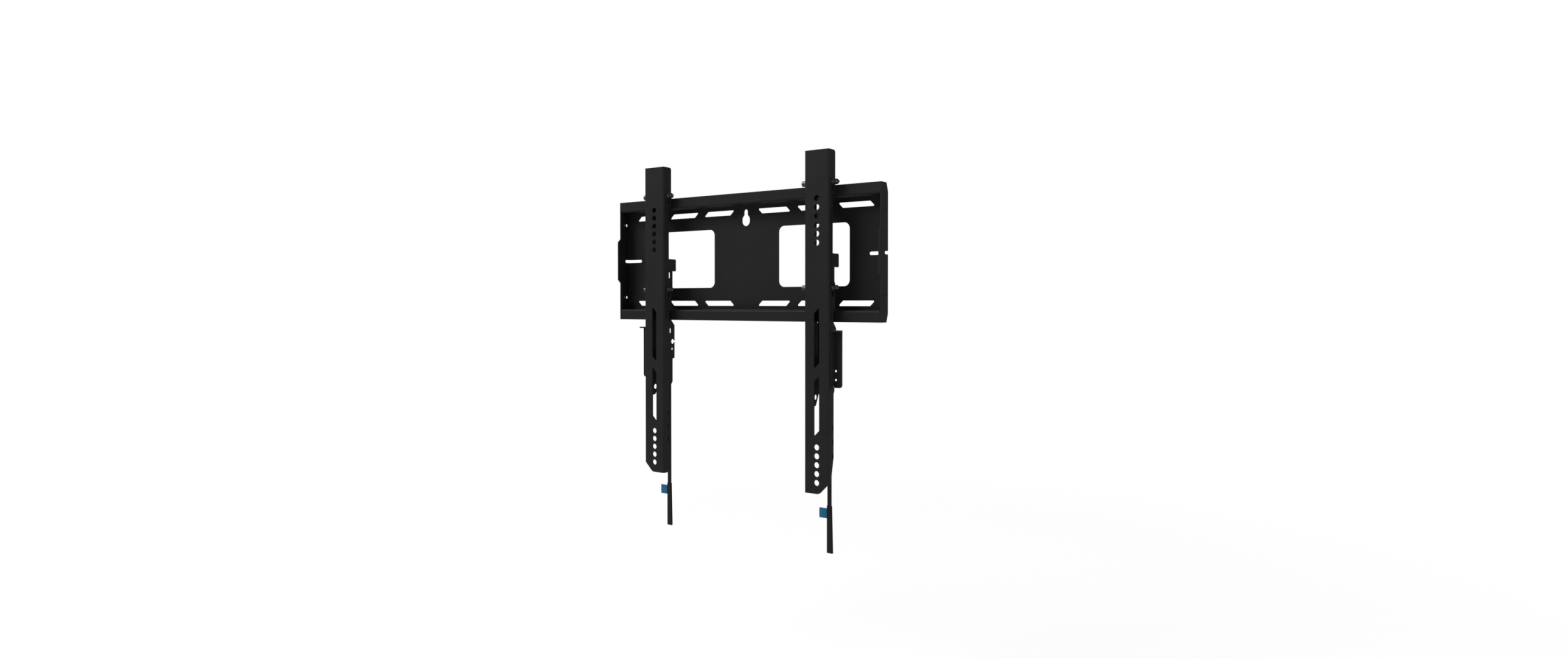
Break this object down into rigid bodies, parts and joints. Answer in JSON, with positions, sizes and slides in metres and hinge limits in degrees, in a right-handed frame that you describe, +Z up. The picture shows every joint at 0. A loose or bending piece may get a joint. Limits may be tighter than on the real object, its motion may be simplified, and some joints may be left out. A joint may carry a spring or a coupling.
{
  "type": "tv wall mount",
  "caption": "Low-profile fixed wall mount: a folded wall plate and a pair of hook-on brackets with spring latches, pull straps and kickstands.",
  "frame": {"origin": "centre of the wall plate's back face, on the wall", "axes": "+X to the right along the wall as seen from the front, +Y into the wall, +Z up"},
  "size_m": [0.483, 0.042, 0.5752],
  "materials": {
    "black_steel": "fine powder coat, satin black",
    "zinc_steel": "dull dark zinc",
    "black_webbing": "woven webbing",
    "blue_tag": "bare woven tag"
  },
  "bodies": {
    "plate": {"wall_plate": "black_steel", "inner_channel_left": "black_steel", "inner_channel_right": "black_steel", "top_hook_left": "black_steel", "top_hook_right": "black_steel", "cross_bolts_left": "zinc_steel", "cross_bolts_right": "zinc_steel", "cross_nuts_left": "zinc_steel", "cross_nuts_right": "zinc_steel", "washers_left": "zinc_steel", "washers_right": "zinc_steel", "latch_spring_left": "black_steel", "latch_spring_right": "black_steel"},
    "rail_l": {"rail_left": "black_steel", "kickstand_rivet_left": "zinc_steel"},
    "rail_r": {"rail_right": "black_steel", "kickstand_rivet_right": "zinc_steel"},
    "latch_l": {"latch_slider_left": "black_steel", "spring_pin_left": "zinc_steel", "strap_bar_left": "black_steel", "pull_strap_left": "black_webbing", "strap_tag_left": "blue_tag"},
    "latch_r": {"latch_slider_right": "black_steel", "spring_pin_right": "zinc_steel", "strap_bar_right": "black_steel", "pull_strap_right": "black_webbing", "strap_tag_right": "blue_tag"},
    "stand_l": {"kickstand_left": "black_steel"},
    "stand_r": {"kickstand_right": "black_steel"}
  },
  "joints": [
    {"name": "level_left", "type": "slide", "parent": "plate", "child": "rail_l", "axis": [0, 0, 1], "range_m": [0, 0.01]},
    {"name": "level_right", "type": "slide", "parent": "plate", "child": "rail_r", "axis": [0, 0, 1], "range_m": [0, 0.01]},
    {"name": "latch_left", "type": "slide", "parent": "plate", "child": "latch_l", "axis": [0, 0, -1], "range_m": [0, 0.0095], "stiffness_N_per_m": 1000, "springref_m": -0.01, "deforming": ["latch_spring_left"]},
    {"name": "latch_right", "type": "slide", "parent": "plate", "child": "latch_r", "axis": [0, 0, -1], "range_m": [0, 0.0095], "stiffness_N_per_m": 1000, "springref_m": -0.01, "deforming": ["latch_spring_right"]},
    {"name": "kickstand_left", "type": "hinge", "parent": "rail_l", "child": "stand_l", "pos_m": [-0.1714, -0.0324, -0.1859], "axis": [-1, 0, 0], "range_deg": [0, 90]},
    {"name": "kickstand_right", "type": "hinge", "parent": "rail_r", "child": "stand_r", "pos_m": [0.1714, -0.0324, -0.1859], "axis": [-1, 0, 0], "range_deg": [0, 90]}
  ]
}
